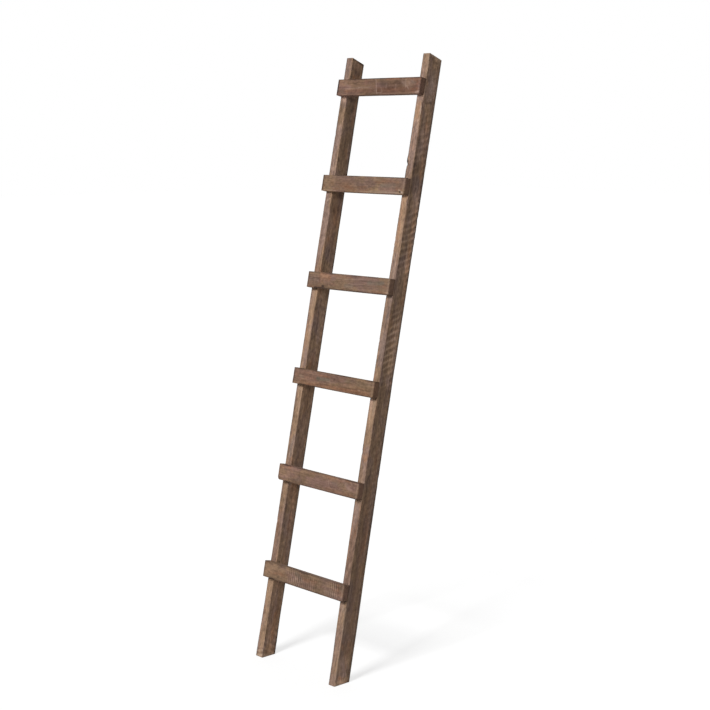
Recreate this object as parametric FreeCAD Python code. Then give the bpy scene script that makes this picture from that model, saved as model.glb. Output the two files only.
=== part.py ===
import FreeCAD, Part
import math
import os

# Leaning display ladder: six flat rungs nailed across the front of two upright boards, the stringers.
# It is drawn as it stands, feet on the floor and tips back against a wall in +Y.

# Overall sizes, in millimetres, and the lean in degrees from upright
LADDER_WIDTH = 366.0
LEAN = 11.75

# Stringers: front face side to side, and front face to back face
STRINGER_FACE = 28.0
STRINGER_DEPTH = 51.0

# Rungs: a flat board on edge
RUNG_HEIGHT = 50.0
RUNG_THICKNESS = 21.5

# Rung places along the stringers' front faces: foot to lowest rung, rung to rung, top rung to tip
FIRST_RUNG = 280.5
RUNG_SPACING = 305.0
TIP_ABOVE_TOP_RUNG = 99.5

# The rungs were set by eye. Lowest rung first: how far each sits above its even place, in millimetres,
# and how far its right end is turned up, in degrees
RUNG_SHIFTS = (0.0, 2.0, 2.5, 4.0, 2.5, -1.0)
RUNG_TILTS = (0.22, -0.10, -0.31, 0.43, -0.18, -0.06)

# Worn long edges of every board
EDGE_RADIUS = 1.2

# Finishing nails: two at each end of each rung, heads flush with the rung's front face
NAIL_SHANK_DIAMETER = 2.5
NAIL_HEAD_DIAMETER = 3.6
NAIL_HEAD_LENGTH = 1.4
NAIL_NECK_LENGTH = 1.0
NAIL_POINT_LENGTH = 4.0
NAIL_BITE = 29.0
NAIL_EDGE_DISTANCE = 11.0
NAIL_STAGGER = 4.0
NAIL_HOLE_CLEARANCE = 0.05

# Values that follow from the sizes above
RUNG_COUNT = len(RUNG_SHIFTS)
STRINGER_LENGTH = FIRST_RUNG + (RUNG_COUNT - 1) * RUNG_SPACING + TIP_ABOVE_TOP_RUNG
MITRE_RISE = STRINGER_DEPTH * math.tan(math.radians(LEAN))
NAIL_LENGTH = RUNG_THICKNESS + NAIL_BITE
NAIL_RISE = RUNG_HEIGHT / 2 - NAIL_EDGE_DISTANCE
FLOOR_REACH = (
    STRINGER_DEPTH * math.cos(math.radians(LEAN))
    + (STRINGER_LENGTH - MITRE_RISE) * math.sin(math.radians(LEAN))
)

ORIGIN = FreeCAD.Vector(0, 0, 0)
ACROSS = FreeCAD.Vector(1, 0, 0)
INWARD = FreeCAD.Vector(0, 1, 0)
ALONG = FreeCAD.Vector(0, 0, 1)
SIDES = {"left": -1, "right": 1}


def stringer_middle(side):
    """How far a stringer's middle line lies from the ladder's middle."""
    return SIDES[side] * (LADDER_WIDTH - STRINGER_FACE) / 2


def rung_centre(index):
    """Middle of a rung's back face, on the front plane of the upright ladder."""
    return FreeCAD.Vector(0, 0, FIRST_RUNG + index * RUNG_SPACING + RUNG_SHIFTS[index])


def runs_along(edge, axis):
    """True for an edge parallel to the axis."""
    run = edge.Vertexes[-1].Point.sub(edge.Vertexes[0].Point)
    return abs(run.dot(axis)) > 0.999 * run.Length


def worn_board(board, axis):
    """Round the edges of a board that run along its length."""
    long_edges = [edge for edge in board.Edges if runs_along(edge, axis)]
    return board.makeFillet(EDGE_RADIUS, long_edges)


def stringer(side):
    """An upright board, both ends sawn at the lean angle so that its front face is the longer one."""
    outline = [
        FreeCAD.Vector(0, 0, 0),
        FreeCAD.Vector(0, STRINGER_DEPTH, MITRE_RISE),
        FreeCAD.Vector(0, STRINGER_DEPTH, STRINGER_LENGTH - MITRE_RISE),
        FreeCAD.Vector(0, 0, STRINGER_LENGTH),
    ]
    profile = Part.Face(Part.makePolygon(outline + outline[:1]))
    board = profile.extrude(ACROSS * STRINGER_FACE)
    board.translate(FreeCAD.Vector(stringer_middle(side) - STRINGER_FACE / 2, 0, 0))
    return worn_board(board, ALONG)


def set_by_eye(shape, index):
    """Turn a shape with its rung, about the middle of the rung's back face."""
    turned = shape.copy()
    turned.rotate(rung_centre(index), INWARD, -RUNG_TILTS[index])
    return turned


def rung(index):
    """A flat board on edge across both stringers, its ends flush with their outer faces."""
    board = Part.makeBox(LADDER_WIDTH, RUNG_THICKNESS, RUNG_HEIGHT)
    board.translate(FreeCAD.Vector(-LADDER_WIDTH / 2, -RUNG_THICKNESS, -RUNG_HEIGHT / 2))
    board.translate(rung_centre(index))
    return set_by_eye(worn_board(board, ACROSS), index)


def nail(clearance=0.0):
    """A finishing nail, head at the origin, pointing inward. A clearance makes it the hole for one."""
    head = NAIL_HEAD_DIAMETER / 2 + clearance
    shank = NAIL_SHANK_DIAMETER / 2 + clearance
    outline = [
        FreeCAD.Vector(0, -clearance, 0),
        FreeCAD.Vector(head, -clearance, 0),
        FreeCAD.Vector(head, NAIL_HEAD_LENGTH + clearance, 0),
        FreeCAD.Vector(shank, NAIL_HEAD_LENGTH + NAIL_NECK_LENGTH + clearance, 0),
        FreeCAD.Vector(shank, NAIL_LENGTH - NAIL_POINT_LENGTH + clearance, 0),
        FreeCAD.Vector(0, NAIL_LENGTH + clearance, 0),
    ]
    profile = Part.Face(Part.makePolygon(outline + outline[:1]))
    return profile.revolve(ORIGIN, INWARD, 360)


def nail_pair(index, side, clearance=0.0):
    """The two nails at one end of a rung, staggered so that they don't split the stringer's grain."""
    pair = []
    for end in (-1, 1):
        across = stringer_middle(side) + end * SIDES[side] * NAIL_STAGGER
        place = rung_centre(index) + FreeCAD.Vector(across, -RUNG_THICKNESS, end * NAIL_RISE)
        one = nail(clearance)
        one.translate(place)
        pair.append(set_by_eye(one, index))
    return pair


def lean_back(shape):
    """Lean the upright ladder back, and put the middle of its floor space at the origin."""
    leaned = shape.copy()
    leaned.rotate(ORIGIN, ACROSS, -LEAN)
    leaned.translate(FreeCAD.Vector(0, -FLOOR_REACH / 2, 0))
    return leaned


def build_ladder():
    """Every piece of the upright ladder by name, with the nail holes cut."""
    pieces = {}
    for side in SIDES:
        holes = []
        for index in range(RUNG_COUNT):
            holes += nail_pair(index, side, NAIL_HOLE_CLEARANCE)
        pieces[f"{side}_stringer"] = stringer(side).cut(holes)
    for index in range(RUNG_COUNT):
        name = f"rung_{index + 1}"
        holes = []
        for side in SIDES:
            pieces[f"{name}_{side}_nails"] = Part.makeCompound(nail_pair(index, side))
            holes += nail_pair(index, side, NAIL_HOLE_CLEARANCE)
        pieces[name] = rung(index).cut(holes)
    return pieces


os.makedirs("parts", exist_ok=True)
for node, piece in build_ladder().items():
    lean_back(piece).exportStep(f"parts/{node}.step")
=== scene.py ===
"""Looks of a leaning display ladder: rough-sawn, brown-stained boards with worn edges, in a white studio."""
import math

import bpy
import numpy as np
from mathutils import Matrix, Vector


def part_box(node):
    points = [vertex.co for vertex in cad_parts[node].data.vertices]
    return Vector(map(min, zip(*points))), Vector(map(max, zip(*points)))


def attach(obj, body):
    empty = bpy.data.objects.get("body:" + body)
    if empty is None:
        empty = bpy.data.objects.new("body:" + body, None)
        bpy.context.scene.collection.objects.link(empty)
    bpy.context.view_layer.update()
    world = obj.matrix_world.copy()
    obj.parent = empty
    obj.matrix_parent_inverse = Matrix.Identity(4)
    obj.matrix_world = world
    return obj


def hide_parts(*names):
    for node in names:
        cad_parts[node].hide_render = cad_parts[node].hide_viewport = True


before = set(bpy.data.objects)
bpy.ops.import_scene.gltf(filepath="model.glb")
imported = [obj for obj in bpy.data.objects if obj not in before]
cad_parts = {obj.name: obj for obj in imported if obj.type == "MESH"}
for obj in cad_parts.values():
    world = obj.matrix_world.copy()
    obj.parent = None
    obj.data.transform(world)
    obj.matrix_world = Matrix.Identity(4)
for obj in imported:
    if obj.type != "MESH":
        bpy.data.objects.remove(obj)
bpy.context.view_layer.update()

MM = 0.001

# Camera, from matching the board edges of the photograph: place in metres, aim in degrees, lens in mm
CAMERA_PLACE = (3.3544, -3.0680, 1.6357)
CAMERA_TURN = 47.222
CAMERA_DIP = 8.495
CAMERA_LENS = 75.98
SENSOR_WIDTH = 36.0

# Light: a far, tall softbox in front and above, and an even pale surround that is stronger behind
KEY_PLACE = (1.0, -5.4, 4.2)
KEY_DIP = math.radians(60)
KEY_SIZE = (1.6, 2.0)
KEY_POWER = 400.0
SURROUND_STRENGTH = 0.15
BACK_FROM = (-0.45, 0.85, 0.25)
BACK_EDGE = 0.3
BACK_STRENGTH = 0.5

# Floor: its own grey, the white that the camera sees, and how that rises with the squared distance
FLOOR_SIZE = 60.0
FLOOR_GREY = 0.42
FLOOR_WHITE = 0.968
FLOOR_LIFT = 0.03
FLOOR_LIFT_FROM = 0.06
FLOOR_LIFT_TO = 0.5
WHITE = (1.0, 1.0, 1.0, 1.0)

# Board meshes: sizes of their faces, steps round each arc, and what is left in the middle of an end
STRINGER_STEP = 2.8 * MM
RUNG_STEP = 1.7 * MM
ARC_STEPS = 3
END_ROUND_STEPS = 3
END_RING_STEP = 2.6 * MM
END_MIDDLE = 1.2 * MM

# Edge wear: the least corner radius, what worn and chipped stretches add, how long those are, and seeds
EDGE_LEAST = 0.7 * MM
EDGE_WORN = 1.6 * MM
EDGE_CHIPPED = 1.3 * MM
WORN_LENGTH = 85 * MM
WORN_GAIN = 1.4
CHIPPED_LENGTH = 16 * MM
CHIPPED_GAIN = 2.2
CHIPPED_FROM = 1.0
CHIPPED_SEED_STEP = 5
EDGE_SEED_STEP = 10

# Limits of the corner radii: the least at an end, and the most as a share of half the board
SHARPEST = 0.25 * MM
ROUNDEST = 0.9

# How far a flare reaches up from the foot, and an untrue tip down from the top
FLARE_REACH = 800 * MM
TIP_REACH = 60 * MM

# Noises over a board: features to the metre across, through and along it, and a seed for each
NOISES = {
    "wave": ((22, 22, 5), 31),
    "ripple": ((95, 95, 14), 32),
    "end_grain": ((240, 240, 240), 33),
    "patches": ((70, 70, 28), 34),
    "chips": ((260, 260, 260), 41),
    "strokes": ((150, 150, 60), 51),
    "saw_waver": ((25, 25, 18), 71),
    "saw_patches": ((40, 40, 11), 72),
}

# How deep the end grain is, how rough chips are, how well strokes cover, and the least square of a length
END_GRAIN_DEPTH = 0.25 * MM
CHIP_ROUGHNESS = 0.25
STROKE_COVER = 0.8
STROKE_BREAK = 0.4
LEAST_SQUARE = 1e-12

# Saw marks: how far they turn with the board's width, how they waver, fade and stand up
SAW_TURN = 0.4
SAW_WAVER = 0.3
SAW_PATCH_MIDDLE = 0.75
SAW_PATCH_GAIN = 0.8
SAW_FAINTEST = 0.25
SAW_SHARPNESS = 1.6
SAW_HIGH = 2.0
SAW_LOW = 0.8

# Darkening and rubbing along the edges, with painted shade on the rungs' edges and a painted highlight on
# the lower edges of rungs 5 and 6: how far they reach, and how patchy they are
GRIME_AND_SHADE_REACH = 2.6 * MM
GRIME_AND_SHADE_MIDDLE = 0.7
GRIME_AND_SHADE_GAIN = -0.9
RUB_AND_HIGHLIGHT_REACH = 3.6 * MM
RUB_AND_HIGHLIGHT_MIDDLE = 0.2
RUB_AND_HIGHLIGHT_GAIN = 1.2
PLAIN_EDGE_FADE = 8 * MM

# From what share of its rounding on a board's end counts as its end face
END_SHARE = 0.6

RUNG_COUNT = sum(1 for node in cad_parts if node.startswith("rung_") and node.count("_") == 1)
SIDES = ("left", "right")


# Numbers that look random but are the same in every run

HASH_STEPS = (374761393, 668265263, 1440670441)
HASH_SEED = 974634777
HASH_MIX = 1274126177
HASH_FIRST_SHIFT = 13
HASH_LAST_SHIFT = 16
HASH_KEPT = 0x7FFFFFFF
HASH_TOP = 0xFFFF


def cell_value(cells, seed):
    """A repeatable value from -1 to 1 for each cell of a grid."""
    mixed = sum(cells[..., axis] * step for axis, step in enumerate(HASH_STEPS))
    mixed = (mixed + seed * HASH_SEED) & HASH_KEPT
    mixed = ((mixed ^ (mixed >> HASH_FIRST_SHIFT)) * HASH_MIX) & HASH_KEPT
    return ((mixed ^ (mixed >> HASH_LAST_SHIFT)) & HASH_TOP) / (HASH_TOP / 2) - 1.0


def noise(points, seed):
    """Smooth noise from -1 to 1 at points of shape (..., 3), with features one unit across."""
    cell = np.floor(points).astype(np.int64)
    part = points - cell
    part = part * part * (3 - 2 * part)
    total = np.zeros(points.shape[:-1])
    for corner in np.ndindex(2, 2, 2):
        weight = np.prod(np.where(corner, part, 1 - part), axis=-1)
        total += weight * cell_value(cell + np.array(corner), seed)
    return total


def noise_along(along, length, seed):
    """Smooth noise along a board, with features of the given length."""
    middle = np.full_like(along, 0.5)
    return noise(np.stack([along / length, middle, middle], axis=-1), seed)


def board_noise(kind, places, look):
    """One of the noises over a board."""
    scale, seed = NOISES[kind]
    return noise(places * np.array(scale), look["seed"] + seed)


def bump(distance, reach):
    """1 at distance 0, falling smoothly to 0 at the reach."""
    return np.clip(1 - (distance / reach) ** 2, 0, 1) ** 2


def humps(along, places):
    """Smooth humps along a board, each given as its middle and reach in millimetres and its height."""
    return sum(height * bump(along - middle * MM, reach * MM) for middle, reach, height in places)


# Where the boards stand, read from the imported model

def node_middle(node):
    """Middle of a node's box."""
    low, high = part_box(node)
    return (low + high) / 2


def upright_box(node, turn):
    """Lowest and highest corner of a node after the turn that stands the ladder up."""
    places = np.array([vertex.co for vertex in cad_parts[node].data.vertices])
    places = places @ np.array(turn.to_3x3()).T
    return places.min(axis=0), places.max(axis=0)


stringer_run = node_middle(f"rung_{RUNG_COUNT}_left_nails") - node_middle("rung_1_left_nails")
LEAN = math.atan2(stringer_run.y, stringer_run.z)
LEAN_BACK = Matrix.Rotation(-LEAN, 4, "X")
STAND_UP = LEAN_BACK.inverted()


def stringer_place(side):
    """Size (across, depth, along) of a stringer and the matrix that places its mesh."""
    low, high = upright_box(f"{side}_stringer", STAND_UP)
    size = high - low
    middle = Vector(((low[0] + high[0]) / 2, (low[1] + high[1]) / 2, low[2]))
    return size, LEAN_BACK @ Matrix.Translation(middle)


def rung_place(number):
    """Size (height, thickness, length) of a rung and the matrix that places its mesh."""
    left, right = (STAND_UP @ node_middle(f"rung_{number}_{side}_nails") for side in SIDES)
    tilt = Matrix.Rotation(-math.atan2(right.z - left.z, right.x - left.x), 4, "Y")
    low, high = upright_box(f"rung_{number}", tilt.inverted() @ STAND_UP)
    length, thickness, height = high - low
    middle = Vector((low[0], (low[1] + high[1]) / 2, (low[2] + high[2]) / 2))
    lay_down = Matrix(((0, 0, 1, 0), (0, 1, 0, 0), (-1, 0, 0, 0), (0, 0, 0, 1)))
    return np.array((height, thickness, length)), LEAN_BACK @ tilt @ Matrix.Translation(middle) @ lay_down


# Board meshes. A board is made along its own +Z from 0, its front face towards -Y.

# The long edges, as signs across and through the board: front right, then round by the back
CORNER_SIGNS = ((1, -1), (1, 1), (-1, 1), (-1, -1))

# Each painted face's axis, its sign, and the axis across it. A rung's right face is its underside.
FACES = {"front": (1, -1, 0), "right": (0, 1, 1), "left": (0, -1, 1)}

# Kinds of stroke, as they are stored together on the mesh
CALM = "calm"
TINTS = ("tan", "pink", "rust")
MARKS = ("pale", "dark", "grey")
LIGHTS = ("light", "shade", "ochre")


def section_points(half_width, half_depth, radii, flats):
    """Rounded rectangles for many rings: points, normals, distances from an edge, nearest corners."""
    arcs = []
    for corner, (sign_x, sign_y) in enumerate(CORNER_SIGNS):
        radius = radii[:, corner]
        middle = np.stack([sign_x * (half_width - radius), sign_y * (half_depth - radius)], axis=-1)
        arc = []
        for step in range(ARC_STEPS + 1):
            angle = math.radians(90 * (corner - 1 + step / ARC_STEPS))
            normal = np.array([math.cos(angle), math.sin(angle)])
            arc.append((middle + radius[:, None] * normal, normal))
        arcs.append(arc)
    found = []
    for corner, arc in enumerate(arcs):
        following = (corner + 1) % len(arcs)
        first, normal = arc[-1]
        last = arcs[following][0][0]
        span = np.linalg.norm(last - first, axis=-1)
        found += [(place, way, np.zeros_like(span), corner) for place, way in arc]
        for step in range(1, flats[corner]):
            share = step / flats[corner]
            nearer = corner if share < 0.5 else following
            found.append((first + (last - first) * share, normal, span * min(share, 1 - share), nearer))
    points, normals, from_edge, nearest = zip(*found)
    normals = np.broadcast_to(np.array(normals), (len(half_width), len(points), 2))
    return np.stack(points, axis=1), normals, np.stack(from_edge, axis=1), np.array(nearest)


def ring_plan(size, step, end_round):
    """Places along and insets of every ring: end face, rounded end, body, rounded end, end face."""
    least = min(size[0], size[1]) / 2
    insets = np.arange(least - END_MIDDLE, end_round + END_RING_STEP / 2, -END_RING_STEP)
    angles = np.linspace(0, math.pi / 2, END_ROUND_STEPS + 1)
    start_inset = np.concatenate([insets, end_round * (1 - np.sin(angles))])
    start_along = np.concatenate([np.zeros_like(insets), end_round * (1 - np.cos(angles))])
    body_count = int(round((size[2] - 2 * end_round) / step))
    body = np.linspace(end_round, size[2] - end_round, body_count + 1)[1:-1]
    along = np.concatenate([start_along, body, size[2] - start_along[::-1]])
    inset = np.concatenate([start_inset, np.zeros_like(body), start_inset[::-1]])
    return along, inset


def worn_radii(along, look):
    """Corner radii of every ring: a little rounded, and more on worn, chipped and nicked stretches."""
    radii = []
    for corner in range(len(CORNER_SIGNS)):
        seed = look["seed"] * EDGE_SEED_STEP + corner
        worn = np.clip(noise_along(along, WORN_LENGTH, seed) * WORN_GAIN, 0, 1) ** 2
        chipped = noise_along(along, CHIPPED_LENGTH, seed + CHIPPED_SEED_STEP) * CHIPPED_GAIN - CHIPPED_FROM
        nicks = [nick for nick_corner, *nick in look.get("nicks", ()) if nick_corner == corner]
        radius = EDGE_LEAST + EDGE_WORN * worn + EDGE_CHIPPED * np.clip(chipped, 0, 1)
        radii.append(radius + humps(along, nicks) * MM)
    return np.stack(radii, axis=-1)


def bare_board(along, inset, size, step, mitre, look):
    """A board before its relief: places, outward ways, distances from an edge and nearest corners."""
    swell = humps(along, look.get("swells", ())) * MM * np.ones_like(along)
    flare = look.get("flare", 0.0) * MM * np.clip(1 - along / FLARE_REACH, 0, 1)
    deeper = look.get("deeper", 0.0) * MM + flare + swell / 2
    half_width = (size[0] + swell) / 2 - inset
    half_depth = (size[1] + deeper) / 2 - inset
    radii = np.minimum(worn_radii(along, look), np.minimum(half_width, half_depth)[:, None] * ROUNDEST)
    radii = np.where(inset[:, None] > 0, np.maximum(radii - inset[:, None], SHARPEST), radii)
    depth_flats = max(2, int(round(size[1] / step)))
    width_flats = max(2, int(round(size[0] / step)))
    flats = (depth_flats, width_flats, depth_flats, width_flats)
    flat, normal, from_edge, nearest = section_points(half_width, half_depth, radii, flats)
    flat[..., 0] += humps(along[:, None], look.get("bows", ())) * MM
    flat[..., 1] += deeper[:, None] / 2
    front_gap = flat[..., 1] + size[1] / 2
    height = along[:, None] + front_gap * math.tan(mitre) * (1 - 2 * along[:, None] / size[2])
    tip_front, tip_back = np.array(look.get("tip", (0, 0))) * MM
    near_tip = np.clip(1 - (size[2] - along[:, None]) / TIP_REACH, 0, 1)
    height = height + near_tip * (tip_front + (tip_back - tip_front) * np.clip(front_gap / size[1], 0, 1))
    places = np.concatenate([flat, height[..., None]], axis=-1)
    outward = np.concatenate([normal, np.zeros((*normal.shape[:2], 1))], axis=-1)
    return places, outward, from_edge, nearest


def saw_height(places, outward, look):
    """Saw marks from about -1 to 1, fading in and out over the board: bands that slope up to one side."""
    saw = look["saw"]
    across = places[..., 1] + SAW_TURN * places[..., 0]
    phase = (places[..., 2] - across * saw["slope"]) / saw["pitch"]
    phase = phase + SAW_WAVER * board_noise("saw_waver", places, look)
    patches = SAW_PATCH_MIDDLE + SAW_PATCH_GAIN * board_noise("saw_patches", places, look)
    strength = saw["least"] + humps(places[..., 2], saw["stretches"])
    faced = np.abs(outward[..., 0]) + saw["front"] * np.abs(outward[..., 1])
    deep = np.clip(saw["middle"] + saw["gain"] * places[..., 1], SAW_FAINTEST, 1)
    ridge = SAW_HIGH * (0.5 + 0.5 * np.sin(2 * math.pi * phase)) ** SAW_SHARPNESS - SAW_LOW
    return ridge * np.clip(strength, 0, 1) * np.clip(patches, 0, 1) * np.clip(faced, 0, 1) * deep


def knock_off(places, size, chip, look):
    """Flatten a corner of a board that has been knocked off."""
    *signs, depth = chip
    depth = depth * MM
    way = np.array(signs, float)
    corner = np.array((signs[0] * size[0] / 2, signs[1] * size[1] / 2, size[2] if signs[2] > 0 else 0.0))
    way /= np.linalg.norm(way)
    rough = CHIP_ROUGHNESS * depth * board_noise("chips", places, look)
    over = (places - corner) @ way + depth + rough
    return places - np.where(over > 0, over, 0)[..., None] * way


def relief(places, outward, on_end, ridge, size, look):
    """A board's places moved by its waves, ripples, saw marks, rough end grain and knocked-off corners."""
    lift = look["wave"] * board_noise("wave", places, look)
    lift += look["ripple"] * board_noise("ripple", places, look)
    lift += look["saw"]["height"] * ridge
    moved = places + outward * np.where(on_end > 0, 0.0, lift)[..., None]
    end_grain = np.abs(board_noise("end_grain", places, look)) * END_GRAIN_DEPTH
    rings = np.arange(len(places))[:, None]
    moved[..., 2] += on_end * end_grain * np.where(rings < len(places) / 2, 1.0, -1.0)
    for chip in look.get("chips", ()):
        moved = knock_off(moved, size, chip, look)
    return moved


def paint(places, outward, on_end, look):
    """Strokes on the faces of a board: an amount for each kind of stroke."""
    amounts = {kind: np.zeros(places.shape[:-1]) for kind in (CALM, *TINTS, *MARKS, *LIGHTS)}
    broken = STROKE_COVER + STROKE_BREAK * board_noise("strokes", places, look)
    for kind, face, along, across, end_along, *end_across, half_width, percent in look["strokes"]:
        axis, sign, across_axis = FACES[face]
        on_face = (outward[..., axis] * sign > 0.5) & (on_end < 0.5)
        spot = np.stack([places[..., 2], places[..., across_axis]], axis=-1)
        start = np.array((along, across))
        end = np.array((end_along, *(end_across or [across])))
        begin, run = start * MM, (end - start) * MM
        share = np.clip(((spot - begin) @ run) / max(run @ run, LEAST_SQUARE), 0, 1)
        gap = np.linalg.norm(spot - begin - share[..., None] * run, axis=-1)
        amounts[kind] += bump(gap, half_width * MM) * (percent / 100) * on_face * broken
    return amounts


def edge_shading(places, outward, inset, from_edge, nearest, look):
    """How dark and how pale the edges of a board are: grime and rubbing, with painted shade on the rungs'
    edges and a painted highlight on some rungs' lower edges.
    """
    patchy = board_noise("patches", places, look)
    # Grime on the edges; on the rungs it is also painted shade on the lower front and upper edges.
    grime_and_shade = np.clip(1 - from_edge / GRIME_AND_SHADE_REACH, 0, 1) * np.array(look["grime_and_shade"])[nearest]
    if "plain_lower_edge_end" in look:
        edge_darkened = np.clip((places[..., 2] - look["plain_lower_edge_end"]) / PLAIN_EDGE_FADE, 0, 1)
        grime_and_shade = grime_and_shade * np.where(nearest == 0, edge_darkened, 1.0)
    grime_and_shade = grime_and_shade * np.clip(GRIME_AND_SHADE_MIDDLE + GRIME_AND_SHADE_GAIN * patchy, 0, 1)
    rim = np.where(inset > 0, bump(inset - look["end_round"] / 2, look["end_round"]), 0.0)
    rim = rim[:, None] * np.abs(outward[..., 0]) * look.get("rim", 0.0)
    # Rubbing on the edges; on rungs 5 and 6 it is also a painted highlight on the lower edges.
    rub_and_highlight = np.clip(1 - from_edge / RUB_AND_HIGHLIGHT_REACH, 0, 1) * np.array(look["rub_and_highlight"])[nearest]
    return np.maximum(grime_and_shade, rim), rub_and_highlight * np.clip(RUB_AND_HIGHLIGHT_MIDDLE + RUB_AND_HIGHLIGHT_GAIN * patchy, 0, 1)


def tube_faces(rings, count):
    """Faces between rings of points, and a cap at each end."""
    ring = np.arange(rings - 1)[:, None] * count
    column = np.arange(count)[None, :]
    following = (column + 1) % count
    corners = [ring + column, ring + following, ring + count + following, ring + count + column]
    caps = [list(range(count))[::-1], list(range((rings - 1) * count, rings * count))]
    return np.stack(corners, axis=-1).reshape(-1, 4).tolist() + caps


def board_arrays(size, step, mitre, look):
    """Vertices, faces and shading values of one board."""
    along, inset = ring_plan(size, step, look["end_round"])
    places, outward, from_edge, nearest = bare_board(along, inset, size, step, mitre, look)
    rings, count = places.shape[:2]
    on_end = np.where(inset > look["end_round"] * END_SHARE, 1.0, 0.0)[:, None] * np.ones(count)
    ridge = saw_height(places, outward, look)
    grime_and_shade, rub_and_highlight = edge_shading(places, outward, inset, from_edge, nearest, look)
    strokes = paint(places, outward, on_end, look)
    shading = {
        "grain": places + np.array(look["shift"]),
        "surface": np.stack([on_end, ridge, strokes[CALM]], axis=-1),
        "edges": np.stack([grime_and_shade, rub_and_highlight, np.zeros_like(rub_and_highlight)], axis=-1),
        "tints": np.stack([strokes[kind] for kind in TINTS], axis=-1),
        "marks": np.stack([strokes[kind] for kind in MARKS], axis=-1),
        "lights": np.stack([strokes[kind] for kind in LIGHTS], axis=-1),
    }
    vertices = relief(places, outward, on_end, ridge, size, look).reshape(-1, 3)
    return vertices, tube_faces(rings, count), shading


def add_object(name, data):
    """A new object in the scene."""
    added = bpy.data.objects.new(name, data)
    bpy.context.scene.collection.objects.link(added)
    return added


def board_object(name, size, step, mitre, place, look):
    """A mesh object for one board, riding on the ladder and standing for its solid."""
    vertices, faces, shading = board_arrays(size, step, mitre, look)
    mesh = bpy.data.meshes.new(name)
    mesh.from_pydata(vertices.tolist(), [], faces)
    for attribute, values in shading.items():
        layer = mesh.attributes.new(attribute, "FLOAT_VECTOR", "POINT")
        layer.data.foreach_set("vector", values.reshape(-1).astype(np.float32))
    mesh.transform(place)
    mesh.polygons.foreach_set("use_smooth", [True] * len(mesh.polygons))
    mesh.update()
    board = add_object(f"{name}_board", mesh)
    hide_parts(name)
    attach(board, "root")
    return board


# Materials

class Graph:
    """Short calls for building the nodes of one material or world."""

    def __init__(self, owner):
        owner.use_nodes = True
        self.nodes = owner.node_tree.nodes
        self.links = owner.node_tree.links

    def give(self, node, inputs):
        """Link a node's inputs, or give them constants."""
        for socket, value in dict(inputs).items():
            if isinstance(value, bpy.types.NodeSocket):
                self.links.new(value, node.inputs[socket])
            else:
                node.inputs[socket].default_value = value

    def node(self, kind, inputs=(), **settings):
        """A new node with its settings and inputs."""
        node = self.nodes.new(kind)
        for setting, value in settings.items():
            setattr(node, setting, value)
        self.give(node, inputs)
        return node

    def attribute(self, name):
        """A vector stored on the mesh."""
        return self.node("ShaderNodeAttribute", attribute_name=name).outputs["Vector"]

    def parts(self, name):
        """The three numbers of a vector stored on the mesh."""
        return self.node("ShaderNodeSeparateXYZ", {0: self.attribute(name)}).outputs

    def vector(self, operation, first, second):
        """Two vectors multiplied or subtracted, or their dot product."""
        node = self.node("ShaderNodeVectorMath", {0: first, 1: second}, operation=operation)
        return node.outputs["Value" if operation == "DOT_PRODUCT" else "Vector"]

    def noise(self, *values):
        """Noise, from 0 to 1 and mostly near a half."""
        names = ("Vector", "Scale", "Detail", "Roughness", "Distortion")
        return self.node("ShaderNodeTexNoise", zip(names, values)).outputs[0]

    def rings(self, *values):
        """Growth rings round the tree's middle, from 0 to 1."""
        names = ("Vector", "Scale", "Distortion", "Detail", "Detail Scale")
        shape = {"wave_type": "RINGS", "rings_direction": "Z"}
        return self.node("ShaderNodeTexWave", zip(names, values), **shape).outputs["Fac"]

    def span(self, value, low, high, to_low=0.0, to_high=1.0):
        """A value's range stretched to another, and clamped there."""
        names = ("Value", "From Min", "From Max", "To Min", "To Max")
        return self.node("ShaderNodeMapRange", zip(names, (value, low, high, to_low, to_high))).outputs[0]

    def number(self, operation, first, second, clamp=True):
        """Two numbers added, multiplied and so on, clamped to 0 and 1 or not."""
        settings = {"operation": operation, "use_clamp": clamp}
        return self.node("ShaderNodeMath", {0: first, 1: second}, **settings).outputs[0]

    def product(self, first, *others):
        """Numbers multiplied together."""
        for other in others:
            first = self.number("MULTIPLY", first, other, clamp=False)
        return first

    def mix(self, share, first, second, blend="MIX"):
        """Two colours mixed."""
        settings = {"data_type": "RGBA", "blend_type": blend}
        return self.node("ShaderNodeMix", {0: share, 6: first, 7: second}, **settings).outputs[2]

    def between(self, share, first, second):
        """A number part of the way from one to another."""
        return self.node("ShaderNodeMix", {0: share, 2: first, 3: second}).outputs[0]

    def bumped(self, *values):
        """A normal, disturbed by a height."""
        return self.node("ShaderNodeBump", zip(("Height", "Strength", "Distance"), values)).outputs[0]

    def background_rays(self):
        """1 for the rays that see the plain background: those of the camera, of gloss and through glass."""
        path = self.node("ShaderNodeLightPath")
        seen = path.outputs["Is Camera Ray"]
        for kind in ("Is Glossy Ray", "Is Transmission Ray"):
            seen = self.number("MAXIMUM", seen, path.outputs[kind], clamp=False)
        return seen


def new_material(name):
    """A material, the graph of its nodes, and its shader."""
    material = bpy.data.materials.new(name)
    graph = Graph(material)
    return material, graph, graph.nodes["Principled BSDF"]


def tone(red, green, blue):
    """A colour, given as on screen from 0 to 255, as light values."""
    light = [((part / 255 + 0.055) / 1.055) ** 2.4 for part in (red, green, blue)]
    return (*light, 1.0)


# Patterns in the wood: how drawn out they are along the board, then scale, detail, roughness, distortion
PATTERNS = {
    "streaks": (0.07, 95, 4, 0.6, 0.3),
    "mottle": (0.4, 48, 3, 0.6, 0.2),
    "dabs": (0.5, 150, 3, 0.65, 0.2),
    "fine": (0.05, 520, 3, 0.65, 0.0),
    "lines": (0.035, 230, 2, 0.5, 0.5),
    "patches": (0.45, 24, 3, 0.6, 0.4),
    "blotches": (0.3, 38, 3, 0.6, 0.6),
    "specks": (1.0, 300, 2, 0.6, 0.0),
}
GROWTH_RINGS = (88, 5.0, 2.0, 0.12)

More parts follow.
